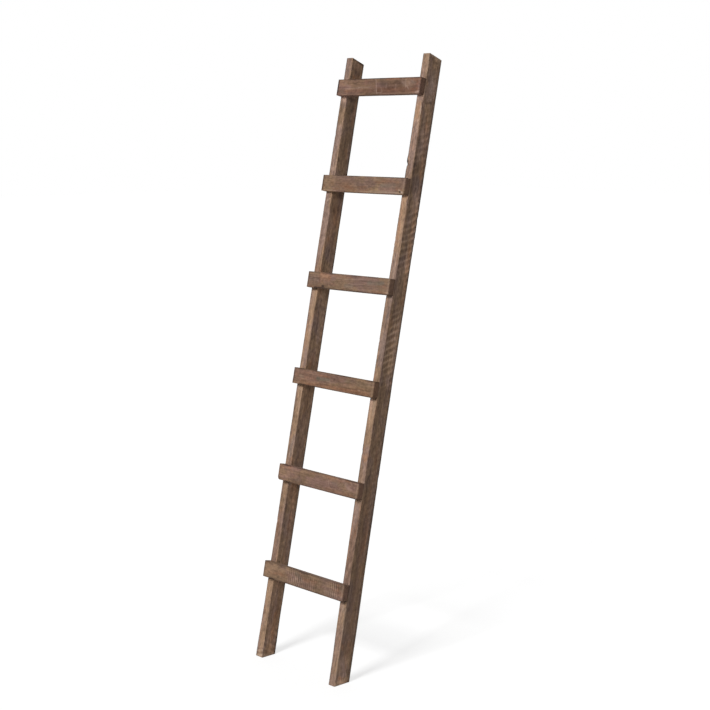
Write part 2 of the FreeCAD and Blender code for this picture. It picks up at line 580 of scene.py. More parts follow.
# How much each pattern lightens and darkens the wood: those of the grain, and the others
GRAIN_PARTS = {"streaks": 0.15, "fine": 0.18, "lines": 0.12}
OTHER_PARTS = {"mottle": 0.12, "dabs": 0.24}
PART_RANGE = (0.3, 0.7)

# What ranges of a pattern or mark turn into: from, to, and the amounts at both
PINK_SPAN = (0.42, 0.6)
RUST_SPAN = (0.55, 0.74, 0.0, 0.75)
RING_SPAN = (0.0, 1.0, 0.96, 1.03)
# The saw span lightens the ridges and darkens the hollows, and the crest span turns the crests pale: partly
# painted light and shade of the saw relief.
SAW_SPAN = (-1.0, 1.0, 0.6, 1.37)
LIGHT_SPAN = (0.0, 1.0, 1.0, 2.0)
SHADE_SPAN = (0.0, 1.0, 1.0, 0.0)
CREST_SPAN = (0.15, 0.9, 0.0, 0.26)
STAIN_SPAN = (0.36, 0.26, 0.0, 0.3)
CRACK_RANGE = (0.40, 0.32)
RIDGE_RANGE = (0.61, 0.70)
LINE_AMOUNT = 0.35
DARK_SPECK_SPAN = (0.64, 0.74, 0.0, 0.5)
RUBBED_SPECK_SPAN = (0.34, 0.26, 0.0, 0.4)
WORN_SPAN = (0.4, 0.6, 0.3, 1.0)
END_AMOUNT = 0.6
ROUGHNESS_SPAN = (0.3, 0.7, 0.92, 0.72)
WOOD_SPECULAR = 0.19
WOOD_BUMP = (0.6, 5.0 * MM)


def wood(name, tones, contrast, streaky):
    """Rough-sawn stained wood: mottled tan, pink and rust, faint grain, saw marks, dark edges and ends; some
    strokes, edges and saw bands are painted light and shade.
    """
    material, graph, shader = new_material(name)
    grain = graph.attribute("grain")
    end, saw, calm = graph.parts("surface")
    grime_and_shade, rub_and_highlight = graph.parts("edges")[:2]
    tan, pink, rust = graph.parts("tints")
    pale, dark, grey = graph.parts("marks")
    light, shade, ochre = graph.parts("lights")
    seen = {}
    for pattern, (drawn_out, *settings) in PATTERNS.items():
        seen[pattern] = graph.noise(graph.vector("MULTIPLY", grain, (1, 1, drawn_out)), *settings)

    pinkness = graph.number("ADD", graph.span(seen["patches"], *PINK_SPAN), pink)
    pinkness = graph.number("SUBTRACT", pinkness, tan)
    rustiness = graph.number("ADD", graph.span(seen["blotches"], *RUST_SPAN), rust)
    stains = ((pinkness, "pink"), (rustiness, "rust"), (grey, "grey"), (ochre, "rub_and_highlight"))
    colour = tones["tan"]
    for share, stain in stains:
        colour = graph.mix(share, colour, tones[stain])

    parts = {pattern: part * streaky for pattern, part in GRAIN_PARTS.items()}
    parts.update(OTHER_PARTS)
    layers = []
    for pattern, part in parts.items():
        layers.append(graph.span(seen[pattern], *PART_RANGE, 1 - part * contrast, 1 + part * contrast))
    # The saw span below lightens the wood on the saw ridges and darkens it in the hollows: partly painted
    # light and shade.
    level = graph.product(
        graph.between(calm, graph.product(*layers), 1.0),
        graph.span(graph.rings(grain, *GROWTH_RINGS), *RING_SPAN),
        graph.span(saw, *SAW_SPAN),
        graph.span(light, *LIGHT_SPAN),
        graph.span(shade, *SHADE_SPAN),
    )
    colour = graph.mix(1.0, colour, level, "MULTIPLY")

    cracks = graph.span(seen["lines"], *CRACK_RANGE, 0.0, LINE_AMOUNT * streaky)
    ridges = graph.span(seen["lines"], *RIDGE_RANGE, 0.0, LINE_AMOUNT * streaky)
    coats = (
        # Pale saw crests, partly a painted highlight.
        (graph.span(saw, *CREST_SPAN), "pale"),
        (graph.span(seen["mottle"], *STAIN_SPAN), "dirt_and_shade"),
        (graph.between(calm, cracks, 0.0), "dirt_and_shade"),
        (graph.between(calm, ridges, 0.0), "rub_and_highlight"),
        (graph.span(seen["specks"], *DARK_SPECK_SPAN), "dirt_and_shade"),
        (graph.span(seen["specks"], *RUBBED_SPECK_SPAN), "rub_and_highlight"),
        # Worn edges, and on rungs 5 and 6 a painted highlight on the lower edges.
        (graph.number("MULTIPLY", rub_and_highlight, graph.span(seen["specks"], *WORN_SPAN)), "rub_and_highlight"),
        # Grime on the edges, and on the rungs painted shade.
        (grime_and_shade, "dirt_and_shade"),
        (graph.number("MULTIPLY", end, END_AMOUNT), "end"),
        (pale, "pale"),
        # Dark strokes: marks, and in places painted shade.
        (dark, "dirt_and_shade"),
    )
    for share, coat in coats:
        colour = graph.mix(share, colour, tones[coat])
    graph.give(shader, {
        "Base Color": colour,
        "Roughness": graph.span(seen["streaks"], *ROUGHNESS_SPAN),
        "Specular IOR Level": WOOD_SPECULAR,
        "Normal": graph.bumped(graph.product(seen["fine"], seen["streaks"], seen["dabs"]), *WOOD_BUMP),
    })
    return material


# The nails' spots as scale, detail, roughness and distortion, and what they turn into
NAIL_SPOTS = (900, 3, 0.6, 0.0)
NAIL_DARK = tone(92, 72, 60)
NAIL_LIGHT = tone(122, 94, 77)
NAIL_TONE_SPAN = (0.35, 0.65)
NAIL_ROUGHNESS_SPAN = (0.3, 0.7, 0.45, 0.75)
NAIL_METALLIC = 0.15
NAIL_BUMP = (0.3, 0.2 * MM)


def nail_metal():
    """Steel under brown stain and rust."""
    material, graph, shader = new_material("nail_metal")
    spots = graph.noise(graph.node("ShaderNodeTexCoord").outputs["Object"], *NAIL_SPOTS)
    graph.give(shader, {
        "Base Color": graph.mix(graph.span(spots, *NAIL_TONE_SPAN), NAIL_DARK, NAIL_LIGHT),
        "Roughness": graph.span(spots, *NAIL_ROUGHNESS_SPAN),
        "Metallic": NAIL_METALLIC,
        "Normal": graph.bumped(spots, *NAIL_BUMP),
    })
    return material


# The boards

# Tones of the stringers and of the rungs, as on screen
TONES = {
    "tan": ((154, 125, 101), (132, 107, 85)),
    "pink": ((148, 122, 109), (131, 104, 92)),
    "rust": ((162, 121, 93), (139, 100, 77)),
    "grey": ((140, 122, 112), (120, 109, 95)),
    "rub_and_highlight": ((180, 147, 120), (160, 130, 106)),
    "pale": ((200, 176, 154), (180, 156, 140)),
    # The darkest tone, for dirt and dark marks and also for painted shade on edges and in some strokes.
    "dirt_and_shade": ((66, 50, 41), (58, 44, 37)),
    "end": ((130, 103, 85), (134, 104, 87)),
}
STRINGER_TONES = {kind: tone(*stringer) for kind, (stringer, rung) in TONES.items()}
RUNG_TONES = {kind: tone(*rung) for kind, (stringer, rung) in TONES.items()}

# Saw marks. Each stretch is its middle and reach in millimetres, and its strength.
STRINGER_SAW = {
    "pitch": 20 * MM, "height": 0.3 * MM, "slope": 0.5, "front": 0.2, "least": 0.1,
    "middle": 0.8, "gain": 8.0,
    "stretches": ((1035, 180, 1.0), (1335, 190, 1.0), (1620, 160, 0.45), (560, 300, 0.15)),
}
LEFT_STRINGER_SAW = {
    **STRINGER_SAW, "slope": -0.4, "stretches": ((40, 90, 0.6), (1100, 250, 0.3), (480, 120, 0.15)),
}
RUNG_SAW = {
    "pitch": 9 * MM, "height": 0.1 * MM, "slope": 0.1, "front": 1.0, "least": 0.05,
    "middle": 1.0, "gain": 0.0, "stretches": (),
}
RIPPLED_RUNG_SAW = {
    **RUNG_SAW, "height": 0.25 * MM, "stretches": ((150, 55, 1.1), (225, 45, 0.5), (328, 30, 0.9)),
}

# What the boards of a kind share. Grime and rub go with the long edges, from the front right round.
# Most rungs have a dark lower edge: painted shade where the edge turns down from the light. Rungs 5 and 6
# have a painted highlight instead: a light underside with pale lower edges, standing for light bounced up
# from the floor.
STRINGER_LOOK = {"wave": 0.4 * MM, "ripple": 0.24 * MM, "end_round": 1.2 * MM, "rub_and_highlight": (0.15, 0.1, 0.2, 0.2)}
RUNG_LOOK = {
    "wave": 0.25 * MM, "ripple": 0.12 * MM, "end_round": 2.4 * MM, "rim": 0.8, "plain_lower_edge_end": 30 * MM,
    # On the rungs the grime is partly painted shade, most on the lower front edge and the upper edges.
    "saw": RUNG_SAW, "grime_and_shade": (1.0, 0.5, 0.9, 1.0), "rub_and_highlight": (0.3, 0.3, 0.2, 0.2),
    # Painted shade: a dark line along the front's lower edge.
    "edge_stroke": ("dark", "front", 36, 24, 366, 4, 50),
}
# Painted highlight for rungs 5 and 6, standing for light bounced up from the floor: no grime and strong
# rubbing on the lower edges, and a light stroke on the underside.
BOUNCE_HIGHLIGHT_EDGES = {
    "grime_and_shade": (0.0, 0.2, 0.9, 1.0), "rub_and_highlight": (1.0, 0.8, 0.2, 0.2),
    "edge_stroke": ("light", "right", 0, -8, 366, 22, 90),
}

# Strokes of colour seen on the faces of the boards, by kind: the start along and across, the end along and
# across and the half width in millimetres, and the amount in percent. The end's across is left out where it
# is the same as the start's.

# Left stringer: tan and rust above, pink and grey below, tan again at the foot
LEFT_FRONT = {
    "tan": (
        (1770, 0, 1690, 18, 30), (1300, 10, 1230, 6, 80), (1170, 0, 1000, 18, 70), (860, 0, 700, 18, 80),
        (550, 0, 470, 18, 70), (245, 0, 0, 18, 80),
    ),
    "pink": (
        (1905, 0, 1830, 18, 80), (1680, 0, 1540, 18, 80), (1470, 0, 1260, -6, 12, 80),
        (1000, -4, 930, 0, 14, 70), (470, 0, 300, 18, 60),
    ),
    "rust": ((470, 0, 300, 18, 35),),
    "pale": (
        (860, 10, 780, 3, 25), (12, -6, 10, 12, 6, 35), (3, -14, 9, 14, 4, 50), (18, -13, 24, 13, 4, 45),
        (1452, -3, 1452, -1, 3.5, 80), (1456, 5, 1457, 7, 3.5, 60), (858, -6, 852, 8, 5, 30),
        (4, -14, 5, 14, 4, 40),
    ),
    "dark": ((10, -14, 16, 14, 3, 50), (25, -13, 31, 13, 3, 45), (1650, -13, 1565, 4, 40)),
    "grey": ((690, 0, 610, 18, 60),),
    "light": (
        # Painted light under rungs 6, 5 and 2, lifting their cast shadow on this face: the strokes at 1774
        # to 1784, 1780, 1475 and 559.
        (1784, 0, 1774, 16, 50), (1160, 0, 1010, 18, 24), (985, 0, 922, 18, 20), (242, 0, 205, 18, 20),
        (120, 0, 0, 18, 26), (1475, -14, 1475, 14, 6, 50), (1780, -14, 1780, 14, 5, 50),
        (559, -14, 559, 14, 5, 25), (1045, 8, 995, 8, 32), (1772, 7, 1752, 8, 32), (1690, 7, 1605, 8, 9),
        (248, 7, 152, 8, 10), (98, -7, 52, 8, 12),
    ),
    "shade": (
        (1760, 0, 1700, 18, 44), (1890, 0, 1848, 18, 22), (1672, 0, 1605, 18, 15), (1440, 0, 1225, 18, 15),
        (790, 0, 640, 18, 13), (420, 0, 300, 18, 38), (560, 0, 430, 18, 16), (995, -8, 945, 9, 26),
        (545, 7, 480, 8, 12), (835, -8, 720, 8, 20), (1300, 7, 1252, 8, 12), (1445, -7, 1402, 8, 12),
        (1690, -7, 1605, 8, 9), (148, -7, 102, 8, 12),
    ),
    "ochre": ((1568, 5, 1550, 7, 50),),
    "calm": ((1160, 0, 930, 20, 30),),
}
LEFT_INNER_SIDE = {
    "tan": ((900, 0, 600, 30, 50), (1130, 12, 1040, 16, 70), (1190, 0, 1150, 4, 10, 50)),
    "pink": ((1890, 0, 1830, 2, 16, 60),),
    "rust": (
        (1880, 0, 1840, 30, 30), (1500, 0, 1330, 30, 45), (960, 0, 620, 30, 25), (240, 0, 10, 30, 35),
        (1850, 8, 1828, 14, 10, 80), (1770, 14, 1700, 12, 10, 70), (560, 4, 410, 6, 16, 70),
        (140, 4, 60, 12, 60), (1847, -10, 1841, -2, 7, 80),
    ),
    "pale": ((6, -25, 15, 25, 4, 40),),
    "dark": (
        (1902, -22, 1890, 24, 6.5, 100), (1868, -14, 1856, 10, 9, 30), (1765, 0, 1745, 6, 16, 30),
        (0, 24, 1885, 5, 50), (1586, -22, 1578, -20, 5, 70), (1574, -23, 1566, 5, 60),
        (300, 25, 0, 4.5, 40),
    ),
    "light": (
        (1886, 4, 1872, 6, 9, 20), (1780, -24, 1640, 4, 25), (1560, -16, 1510, 12, 12),
        (1400, -14, 1310, 12, 14), (1100, 4, 1000, 20, 14), (450, -8, 380, -6, 22, 24),
        (540, 6, 410, 18, 16), (110, 0, 0, 28, 28), (1775, -12, 1752, 14, 15),
    ),
    "shade": (
        (1770, -6, 1610, -4, 28, 24), (1580, 16, 1420, 14, 16), (930, -4, 820, -2, 28, 24),
        (1495, 0, 1430, 30, 50), (1720, 14, 1580, 16, 14), (1885, 0, 1840, 26, 12),
        (1872, -8, 1842, 2, 18, 14),
    ),
    "ochre": ((1894, -20, 1888, -8, 6, 40), (6, -24, 14, 20, 7, 45)),
}

# Right stringer: its outer side is dark along the front, ochre in the middle, rusty at the foot
RIGHT_FRONT = {
    "tan": ((1476, 0, 1310, 18, 60), (955, 0, 918, 16, 90), (860, 0, 740, 18, 100), (245, 0, 0, 18, 40)),
    "pink": (
        (1700, 0, 1640, 18, 80), (1618, 0, 1533, 18, 90), (1301, 0, 1228, 18, 80), (1166, 0, 970, 18, 90),
        (735, 0, 610, 18, 50), (548, 0, 300, 18, 90), (245, 0, 0, 18, 30),
    ),
    "rust": ((1756, 2, 1712, 0, 8, 60), (1455, -3, 1330, -4, 6, 50), (480, 0, 320, 18, 40)),
    "pale": (
        (1904, -10, 1904, 10, 4, 30), (1300, -12, 1272, 4, 4, 40), (1896, 9, 1886, 11, 4, 50),
        (1880, 13, 1835, 3, 30), (1746, 10, 1722, 11, 4, 55), (1253, -4, 1230, -2, 10, 20),
        (858, 2, 818, 4, 8, 25), (240, 0, 225, 4, 8, 20), (235, 13, 20, 2.5, 25), (617, -8, 614, 10, 4, 35),
    ),
    "dark": (
        # Painted shade inside the nicks of the left edge: the dark strokes from 1562 to 1612.
        (160, -13, 0, 5, 35), (1584, -16, 1579, -12, 6.5, 250), (1612, -15, 1586, -16, 3, 70),
        # Painted shade: the dark strokes on the front's right edge beside rungs 6, 5 and 4 (1786 to 1834,
        # 1481 to 1530, 1180 to 1226), where the rung ends meet the upright.
        (1563, -14, 1562, -13, 4, 80), (1903, -12, 1899, -11, 5, 50), (1834, 13, 1786, 4, 70),
        (1530, 13, 1481, 4, 60), (1226, 13, 1180, 4, 40),
    ),
    "grey": ((1166, 0, 985, 18, 50),),
    "light": (
        # Painted light under rungs 6 and 5, lifting their cast shadow on this face: the strokes at 1774,
        # 1475 and 1452 to 1470.
        (1246, 7, 1230, 8, 16), (1770, 0, 1700, 18, 14), (1470, 0, 1330, 18, 12), (242, 0, 205, 18, 25),
        (1475, -14, 1475, 14, 6, 45), (1774, -14, 1774, 14, 8, 35), (1345, -7, 1305, 8, 14),
        (845, -7, 805, 7, 22), (1470, 0, 1452, 15, 16), (864, -7, 852, 8, 15),
    ),
    "shade": (
        (1272, -7, 1252, 8, 9), (1690, 0, 1640, 18, 16), (1290, 0, 1232, 18, 10), (1170, 0, 1085, 18, 26),
        (1085, 0, 990, 18, 15), (990, 0, 918, 18, 28), (495, 0, 300, 18, 40), (245, 0, 0, 18, 14),
        (1295, 7, 1255, 8, 16), (790, -8, 655, 7, 18), (195, -8, 150, 7, 12), (545, 8, 345, 9, 10),
        (640, 8, 605, 8, 10), (935, 8, 905, 8, 12), (985, -7, 950, 8, 10), (395, -8, 350, 8, 12),
    ),
    "calm": ((1160, 0, 930, 20, 30),),
}
RIGHT_OUTER_SIDE = {
    "tan": (
        (1610, -10, 1560, 20, 60), (1260, -8, 1180, 24, 60), (650, 0, 590, 28, 60),
        (1080, -10, 960, -5, 26, 80), (900, 0, 720, 26, 70),
    ),
    "pink": ((90, -6, 30, 0, 24, 70),),
    "rust": (
        (1770, -24, 1650, 4, 50), (1700, 8, 1540, 14, 12, 50), (1440, 12, 1250, 14, 11, 70),
        (1236, 14, 1200, 18, 10, 60), (720, 6, 660, 10, 9, 50), (560, 0, 100, 5, 26, 30),
        (26, -10, 12, 20, 12, 90),
    ),
    "pale": (
        (1903, -25, 1892, 25, 4.5, 50), (1896, 12, 1880, 20, 10, 25), (18, 8, 19, 10, 5, 35),
        (4, -21, 5, -16, 5, 70), (235, -25, 20, -26, 3, 45), (1770, -4, 1771, 4, 5, 15),
        (1047, 12, 1043, 16, 6, 30), (1004, 10, 1002, 16, 5, 30), (986, 10, 984, 14, 5, 30),
        (1092, 12, 1090, 14, 5, 25), (3, -20, 12, 24, 4, 45),
    ),
    "dark": ((1890, -12, 1880, 8, 6, 45), (0, 27, 1880, 23, 4.5, 50), (1757, -12, 1763, 10, 5.5, 60)),
    "grey": ((1850, 0, 1770, 4, 20, 60), (1530, 4, 1500, 8, 6, 50)),
    "light": (
        (1890, 0, 1600, 2, 34, 26), (1480, 14, 1260, 16, 18, 64), (1795, 2, 1730, 0, 28, 14),
        (1260, 14, 1220, 16, 18, 30), (1720, 4, 1640, 6, 28, 30), (1900, 6, 1800, 4, 28, 15),
        (1480, -2, 1290, 12, 12), (1090, 12, 910, 20, 60), (1080, -10, 930, -12, 18, 22),
        (72, 0, 0, 34, 55), (6, -22, 22, 22, 9, 25), (1774, -8, 1770, -2, 8, 25), (1650, 12, 1605, 14, 10),
        (1895, 14, 1855, 14, 10), (1045, 14, 1000, 14, 10), (1145, 4, 1102, 24, 9), (1440, 14, 1310, 14, 6),
        (1745, 12, 1605, 14, 7),
    ),
    "shade": (
        (1570, -12, 1500, -10, 20, 30), (1500, -14, 1420, 16, 14), (1270, -12, 1195, 18, 17),
        (960, -14, 640, -16, 18, 20), (620, -10, 110, -8, 30, 26), (1235, -12, 1155, 16, 10),
        (1095, 10, 1055, 18, 7), (1595, 14, 1555, 12, 8),
    ),
    "ochre": ((1290, 10, 1245, 14, 12, 25), (1060, 12, 950, 10, 14, 45), (6, -20, 24, 22, 11, 85)),
    "calm": ((600, 0, 60, 36, 50),),
}
RIGHT_INNER_SIDE = {
    # Painted shade inside the nick at 1580.
    "dark": ((1584, -26, 1579, -22, 6.5, 200),),
}

# Rung 1: olive left third, rippled pink middle with a grey patch
RUNG_1_FRONT = {
    "tan": ((5, 0, 100, 2, 24, 90), (255, -10, 325, -12, 12, 80)),
    "pink": ((110, 2, 230, 6, 20, 70),),
    "rust": ((180, -6, 240, 0, 10, 30), (330, 0, 362, 4, 14, 40), (343, -18, 346, -6, 7, 80)),
    "pale": (
        (290, 10, 330, 12, 9, 18), (150, -3, 160, 6, 6, 15), (181, -6, 181, -4, 3.2, 40),
        (154, 0, 158, 2, 3.5, 32), (146, 6, 147, 11, 2.8, 32), (138, 7, 139, 12, 2.8, 30),
        (137, -10, 137, -4, 2.8, 26), (222, -5, 223, 0, 2.8, 30),
    ),
    "dark": (
        (152, -13, 156, -8, 4, 40), (165, -9, 184, -7, 8, 20), (176, -20, 212, -24, 3, 45),
        (168, -7, 168, 2, 2.8, 45), (178, -13, 177, -4, 2.8, 40),
    ),
    "grey": ((152, -16, 182, 0, 10, 50),),
    "light": ((0, 0, 38, 28, 20), (50, -16, 120, -14, 12, 12), (0, 14, 28, 12, 10)),
    "shade": (
        (140, 18, 310, 16, 13, 14), (180, -14, 265, 14, 10), (330, -16, 360, -14, 12, 28),
        (50, 16, 80, 14, 12, 12), (340, -12, 354, -8, 10, 20), (360, -16, 366, -8, 10, 35),
        (58, 2, 90, 6, 7, 14),
    ),
    "ochre": ((14, 0, 48, -4, 18, 20),),
}

# Rung 2: tan left end, smudged right end
RUNG_2_FRONT = {
    "tan": ((5, -5, 40, 0, 22, 90), (108, -12, 165, -14, 12, 90)),
    "pink": (
        (322, -4, 348, 0, 14, 80), (45, 5, 105, 8, 16, 90), (140, 4, 265, 18, 80), (8, 10, 40, 12, 10, 70),
    ),
    "rust": ((5, -15, 50, -18, 8, 40), (230, 16, 350, 18, 8, 50)),
    "pale": (
        (312, -8, 334, 2, 8, 28), (232, -12, 237, 1, 2.5, 30), (243, -4, 258, -6, 3, 15),
        (306, -15, 318, -14, 4, 25), (332, -20, 337, -15, 3.5, 30),
    ),
    "dark": ((97, -16, 103, 3, 3, 45), (4, 16, 12, 20, 5, 30), (1, -23, 5, -24, 4, 50)),
    "grey": ((60, 8, 100, 12, 10, 35), (255, -5, 300, -8, 10, 30)),
    "light": (
        (0, 0, 36, 28, 20), (50, -16, 125, 14, 22), (250, -14, 276, 12, 15), (232, -4, 258, -10, 14, 18),
        (325, 4, 355, 8, 14, 13), (4, 12, 56, 12, 8),
    ),
    "shade": (
        (92, 2, 128, 14, 28), (50, 16, 122, 14, 12, 22), (60, 18, 265, 16, 14, 14),
        (325, -18, 360, -16, 10, 16), (212, 0, 238, 22, 8),
    ),
    "ochre": ((12, -10, 62, -14, 12, 30), (236, 14, 270, 12, 10, 25)),
    "calm": ((115, 0, 215, 26, 35),),
}

# Rung 3: rusty lower half, a grey patch and a small knot
RUNG_3_FRONT = {
    "pink": ((0, -8, 100, -5, 20, 80), (118, -14, 200, -12, 8, 80)),
    "rust": (
        (20, -5, 100, 0, 18, 35), (40, 18, 350, 16, 11, 75), (120, -14, 170, -13, 5, 90),
        (225, 14, 300, 12, 10, 50),
    ),
    "pale": ((305, 10, 307, 4, 50), (173, 1, 194, 2, 5, 18)),
    "dark": ((108, 19, 120, 16, 4, 40), (191, -8, 194, 4, 50), (9, 8, 13, 9, 3.5, 45)),
    "grey": ((114, -2, 168, -4, 9, 100), (32, -3, 46, 0, 10, 50), (240, -10, 350, -12, 12, 40)),
    "light": ((110, 18, 200, 16, 9, 20), (358, -6, 364, 14, 12, 20)),
    "shade": (
        (50, -10, 325, -8, 20, 13), (280, 14, 360, 14, 15), (84, -8, 116, -6, 16, 14), (38, 12, 84, 12, 15),
        (235, 14, 320, 12, 12, 10),
    ),
    "ochre": (
        (28, 20, 104, 12, 5, 60), (205, 12, 300, 8, 5, 30), (300, 9, 358, 12, 5, 25),
        (120, 10, 180, 8, 4, 30),
    ),
}

# Rung 4: pink left end, a rusty patch, a dark knot at the lower edge, grey streaks
RUNG_4_FRONT = {
    "pink": ((5, 0, 50, 24, 90), (278, -17, 322, -15, 8, 80)),
    "rust": (
        (60, -12, 98, -8, 16, 60), (64, -17, 98, -13, 14, 80), (0, 20, 70, 22, 7, 50),
        (110, -18, 200, -16, 6, 50), (300, 20, 360, 21, 7, 70), (338, -3, 347, -2, 4, 80),
    ),
    "pale": ((359, 20, 366, 21, 4, 30), (172, -10, 262, -15, 3, 22), (205, 4, 262, 0, 3, 18)),
    "dark": (
        (73, 18, 79, 6, 110), (192, -19, 262, -24, 3, 45), (104, 0, 176, -5, 3, 25),
        (200, 9, 262, 4, 3, 25), (140, 14, 300, 10, 2.5, 15), (53, -21, 57, 6, 3.5, 30),
        (72, 17, 76, 4, 50), (341, -3, 342, 3, 40),
    ),
    "grey": ((10, 0, 45, 2, 16, 35), (176, 9, 206, 9, 70), (276, -6, 338, -8, 11, 90)),
    "light": ((70, -12, 88, -10, 11, 20), (186, 9, 204, 9, 15)),
    "shade": (
        (185, 0, 265, 14, 18), (325, 0, 360, 26, 10), (30, 14, 90, 14, 28), (44, -12, 54, -8, 12, 20),
    ),
    "ochre": ((357, 19, 366, 20, 6, 70), (64, -13, 94, -11, 15, 45), (345, 19, 362, 18, 5, 40)),
    "calm": ((225, 0, 340, 28, 40),),
}

# Rung 5: olive left, pink middle, red and grey to the right, a rubbed lower edge
RUNG_5_FRONT = {
    "tan": ((10, 5, 150, 10, 24, 50), (200, 12, 250, 14, 14, 30)),
    "pink": ((110, -8, 235, 0, 22, 80), (262, 8, 330, 10, 14, 80)),
    "rust": (
        (268, -15, 340, -10, 8, 55), (335, 10, 360, 16, 10, 50), (50, 0, 135, 6, 22, 35),
        (10, 7, 15, 11, 5, 80),
    ),
    "pale": (
        (160, 23, 350, 3.5, 30), (346, 13, 351, 15, 4, 80), (356, 19, 361, 20, 5.5, 120),
        (17, -8, 19, 6, 4, 20), (28, 22, 70, 23, 3, 30), (225, 20, 345, 21, 4, 25),
        (57, -22, 57, 2, 2.5, 18),
    ),
    "dark": ((351, 18, 353, 19, 4, 140), (12, 9, 13, 10, 3.5, 35)),
    "grey": ((270, 2, 325, 0, 10, 55),),
    "light": ((0, -14, 40, -12, 16, 18), (230, 18, 322, 12, 20), (270, 13, 298, 12, 16)),
    "shade": (
        (45, 0, 130, 16, 12), (130, -16, 225, -12, 14, 16), (175, 4, 235, 8, 20, 24), (80, 14, 125, 14, 10),
        (318, -4, 350, 0, 12, 20), (84, 14, 148, 12, 12), (328, 8, 356, 6, 18, 10),
    ),
}

# Rung 6: a pale streak, a scratch with a swirl, a grey band, chalk near the right end
RUNG_6_FRONT = {
    "tan": ((15, -12, 70, -10, 14, 40),),
    "pink": ((20, 2, 56, 12, 80),),
    "rust": (
        (15, 12, 165, 13, 9, 60), (216, -21, 274, 4, 120), (190, 14, 352, 12, 14, 100),
        (232, -8, 286, -6, 14, 40),
    ),
    "pale": (
        (30, 6, 100, 3, 5, 30), (100, 2.5, 152, 4, 30), (172, -20, 183, 22, 2.8, 60),
        (186, 21, 204, 19, 3, 45), (206, 17, 198, 4, 3, 40), (221, -6, 221, 6, 4, 25),
        (262, -4, 262, 8, 4, 25), (288, -11, 330, -12, 9, 22), (296, -2, 328, 2, 10, 20),
        (301, -18, 305, 5, 3, 45), (309, 1, 318, 11, 3.5, 40), (350, 21, 362, 19, 5.5, 100),
        (34, -13, 58, 0, 6, 22), (316, -12, 320, -4, 4, 25), (288, -11, 297, -8, 5, 20),
        (326, -16, 334, -12, 4, 20), (298, 12, 326, 9, 12),
    ),
    "dark": (
        # The first dark stroke adds painted shade at the left end.
        (3, -24, 5, 24, 6, 50), (195, -12, 300, -10, 13, 12), (108, -24, 205, 3, 50),
        (290, -24, 360, 3, 45),
    ),
    "grey": ((190, -10, 290, -8, 15, 15), (332, -10, 344, -8, 9, 60), (4, 14, 28, 12, 50)),
    "light": ((5, -10, 60, -2, 18, 32), (218, -20, 272, 4, 35)),
    "shade": (
        (60, 20, 160, 18, 11, 22), (190, 14, 345, 12, 18, 38), (205, -6, 290, -8, 18, 34),
        (236, 0, 296, 24, 8), (182, 14, 208, 10, 8),
    ),
    "ochre": ((8, -21, 40, -19, 5, 30), (40, 10, 85, 9, 6, 25)),
    "calm": ((105, -4, 215, 26, 50),),
}

# What each board has of its own. Lengths are in millimetres, apart from the grain's shift in metres.
# texture: how strong the mottling is, and how streaky
# nicks: the long edge, the place along it, the reach and the depth
# bows: the middle, the reach, and how far the board strays to the right
# swells: the middle, the reach, and how much wider the board is there, and half as much deeper
# deeper and flare: extra depth all along, and at the foot
# tip: how much longer than true the tip is at its front and at its back
# chips: a knocked-off corner's signs across, through and along the board, and the depth
STRINGER_LOOKS = {
    "left": {
        "strokes": {"front": LEFT_FRONT, "right": LEFT_INNER_SIDE},
        "seed": 3, "shift": (0.035, 0.06, 0.0), "texture": (1.4, 0.75), "saw": LEFT_STRINGER_SAW,
        "grime_and_shade": (0.15, 0.6, 0.8, 1.0),
        "nicks": (
            (3, 1660, 8, 1.8), (0, 1578, 9, 1.6), (3, 1210, 7, 1.6), (0, 860, 12, 1.8), (3, 430, 9, 1.7),
        ),
        "bows": ((1000, 800, -1.4), (200, 220, -0.7), (0, 200, -2.3), (1905, 400, 0.9), (1905, 180, 0.45)),
        "swells": ((1300, 400, 1.2), (800, 300, 0.8), (0, 150, 2.6), (1905, 300, -1.4), (1905, 180, 0.8)),
        "tip": (-1.9, -1.6), "chips": ((0, -1, -1, 1.6),),
    },
    "right": {
        "strokes": {"front": RIGHT_FRONT, "right": RIGHT_OUTER_SIDE, "left": RIGHT_INNER_SIDE},
        "seed": 43, "shift": (0.035, -0.04, 7.3), "texture": (1.45, 0.75), "saw": STRINGER_SAW,
        "grime_and_shade": (0.5, 0.6, 0.8, 1.0),
        "nicks": (
            (3, 1571, 9, 6.0), (3, 1560, 6, 1.6), (3, 702, 10, 2.5), (3, 1344, 6, 1.6), (3, 1324, 5, 1.4),
            (3, 1305, 6, 1.8), (3, 1040, 7, 1.5), (1, 1420, 14, 1.8), (1, 620, 18, 1.6),
        ),
        "bows": ((730, 720, -3.5), (1230, 420, -0.8), (1586, 15, -0.7), (0, 200, 1.5)),
        "swells": ((800, 720, 1.8), (1586, 15, 1.4), (0, 180, -1.9)),
        "deeper": 2.2, "flare": 7.0, "tip": (0.5, 1.8), "chips": ((-1, -1, 1, 0.8), (1, -1, -1, 1.5)),
    },
}

